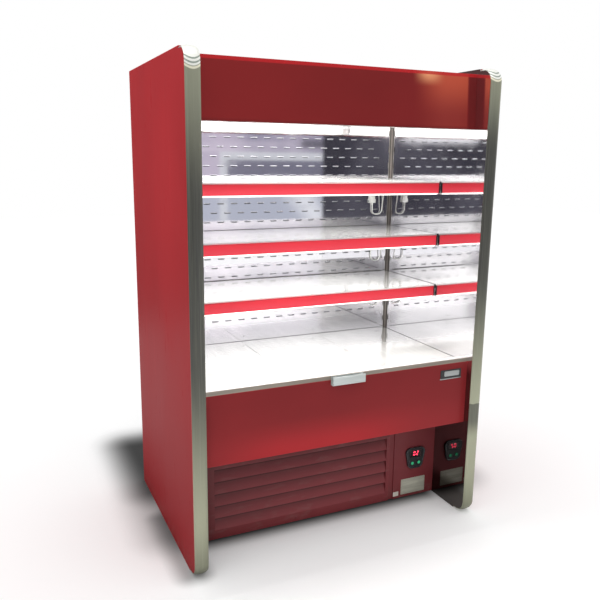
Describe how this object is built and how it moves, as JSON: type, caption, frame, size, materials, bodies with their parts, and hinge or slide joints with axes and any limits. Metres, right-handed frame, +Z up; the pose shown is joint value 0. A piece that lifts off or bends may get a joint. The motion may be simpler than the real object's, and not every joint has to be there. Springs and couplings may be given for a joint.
{
  "type": "open multideck display fridge",
  "caption": "Upright open-fronted chilled display cabinet: red ends with steel noses, lit shelves with red ticket strips, canopy, deck, louvred base and a night blind.",
  "frame": {"origin": "on the floor, at the middle of the plan", "axes": "+X to the right of someone facing the open front, +Y to the back, +Z up"},
  "size_m": [1.2, 0.835, 1.785],
  "materials": {
    "red_paint": "satin",
    "dark_red_paint": "satin",
    "strip_red": "gloss",
    "brushed_steel": "satin",
    "polished_steel": "polished",
    "plain_steel": "satin",
    "galvanised": "satin",
    "aluminium": "satin",
    "moulded_grey": "matte",
    "white_plastic": "satin",
    "lit_diffuser": "gloss",
    "black_plastic": "satin",
    "display_red": "gloss",
    "key_green": "satin",
    "black_paint": "satin",
    "compressor_paint": "satin",
    "copper": "satin",
    "blind_fabric": "matte"
  },
  "bodies": {
    "cabinet": {"end_panel_left": "red_paint", "end_panel_right": "red_paint", "end_nose_left": "brushed_steel", "end_nose_right": "brushed_steel", "inner_lining_left": "polished_steel", "inner_lining_right": "polished_steel", "shelf_upright_left": "plain_steel", "shelf_upright_right": "plain_steel", "rear_panel": "galvanised", "back_duct_panel": "polished_steel", "roof_panel": "galvanised", "ceiling_panel": "polished_steel", "air_guide": "galvanised", "air_honeycomb": "white_plastic", "canopy_front": "dark_red_paint", "canopy_lamp": "lit_diffuser", "base_well": "moulded_grey", "fascia_panel": "red_paint", "front_lip": "brushed_steel", "return_air_grille": "plain_steel", "blind_catch": "polished_steel", "control_panel": "dark_red_paint", "controller_body": "black_plastic", "controller_display": "display_red", "chassis": "galvanised", "foot_frame": "black_paint", "compressor": "compressor_paint", "condenser_coil": "aluminium", "condenser_shroud": "galvanised", "condenser_fan_motor": "black_paint", "condensate_tray": "black_plastic", "rear_grille": "galvanised", "mains_gland": "black_plastic", "evaporator_coil": "aluminium", "evaporator_fan_plate": "plain_steel", "evaporator_fan_motors": "black_paint", "suction_line": "copper", "liquid_line": "copper"},
    "shelf_bottom_set": {"shelf_bottom": "plain_steel", "ticket_strip_bottom": "strip_red", "shelf_light_bottom": "lit_diffuser", "light_lead_bottom": "white_plastic"},
    "shelf_middle_set": {"shelf_middle": "plain_steel", "ticket_strip_middle": "strip_red", "shelf_light_middle": "lit_diffuser", "light_lead_middle": "white_plastic"},
    "shelf_top_set": {"shelf_top": "plain_steel", "ticket_strip_top": "strip_red", "shelf_light_top": "lit_diffuser", "light_lead_top": "white_plastic"},
    "deck": {"base_deck": "plain_steel"},
    "louvre": {"louvre_panel": "dark_red_paint"},
    "blind_roll": {"blind_roller": "blind_fabric"},
    "blind_bar": {"blind_pull_bar": "aluminium", "blind_fabric": "blind_fabric"},
    "key_left": {"controller_key_left": "key_green"},
    "key_right": {"controller_key_right": "key_green"},
    "condenser_rotor": {"condenser_fan": "black_plastic"},
    "evaporator_rotor_left": {"evaporator_fan_left": "black_plastic"},
    "evaporator_rotor_right": {"evaporator_fan_right": "black_plastic"}
  },
  "joints": [
    {"name": "shelf_bottom_lift", "type": "slide", "parent": "cabinet", "child": "shelf_bottom_set", "axis": [0, 0, 1], "range_m": [0, 0.008]},
    {"name": "shelf_middle_lift", "type": "slide", "parent": "cabinet", "child": "shelf_middle_set", "axis": [0, 0, 1], "range_m": [0, 0.008]},
    {"name": "shelf_top_lift", "type": "slide", "parent": "cabinet", "child": "shelf_top_set", "axis": [0, 0, 1], "range_m": [0, 0.008]},
    {"name": "deck_lift", "type": "slide", "parent": "cabinet", "child": "deck", "axis": [0, 0, 1], "range_m": [0, 0.1]},
    {"name": "louvre_panel_off", "type": "slide", "parent": "cabinet", "child": "louvre", "axis": [0, -1, 0], "range_m": [0, 0.12]},
    {"name": "blind_pull", "type": "slide", "parent": "cabinet", "child": "blind_bar", "axis": [0, -0.0757, -0.9971], "range_m": [0, 0.92466], "stiffness_N_per_m": 12, "springref_m": -1.2, "deforming": ["blind_fabric"]},
    {"name": "blind_roll_turn", "type": "hinge", "parent": "cabinet", "child": "blind_roll", "pos_m": [0, -0.291, 1.668], "axis": [1, 0, 0], "range_deg": [0, 2210]},
    {"name": "key_left_press", "type": "slide", "parent": "cabinet", "child": "key_left", "axis": [0, 1, 0], "range_m": [0, 0.0008], "stiffness_N_per_m": 400},
    {"name": "key_right_press", "type": "slide", "parent": "cabinet", "child": "key_right", "axis": [0, 1, 0], "range_m": [0, 0.0008], "stiffness_N_per_m": 400},
    {"name": "condenser_fan_turn", "type": "hinge", "parent": "cabinet", "child": "condenser_rotor", "pos_m": [-0.245, -0.04, 0.1723], "axis": [0, 1, 0], "continuous": true},
    {"name": "evaporator_fan_left_turn", "type": "hinge", "parent": "cabinet", "child": "evaporator_rotor_left", "pos_m": [-0.215, 0.128, 0.5339], "axis": [0, 1, 0], "continuous": true},
    {"name": "evaporator_fan_right_turn", "type": "hinge", "parent": "cabinet", "child": "evaporator_rotor_right", "pos_m": [0.215, 0.128, 0.5339], "axis": [0, 1, 0], "continuous": true}
  ],
  "couplings": [
    {"joint": "blind_roll_turn", "follows": "blind_pull", "rad_per_m": 41.667}
  ]
}
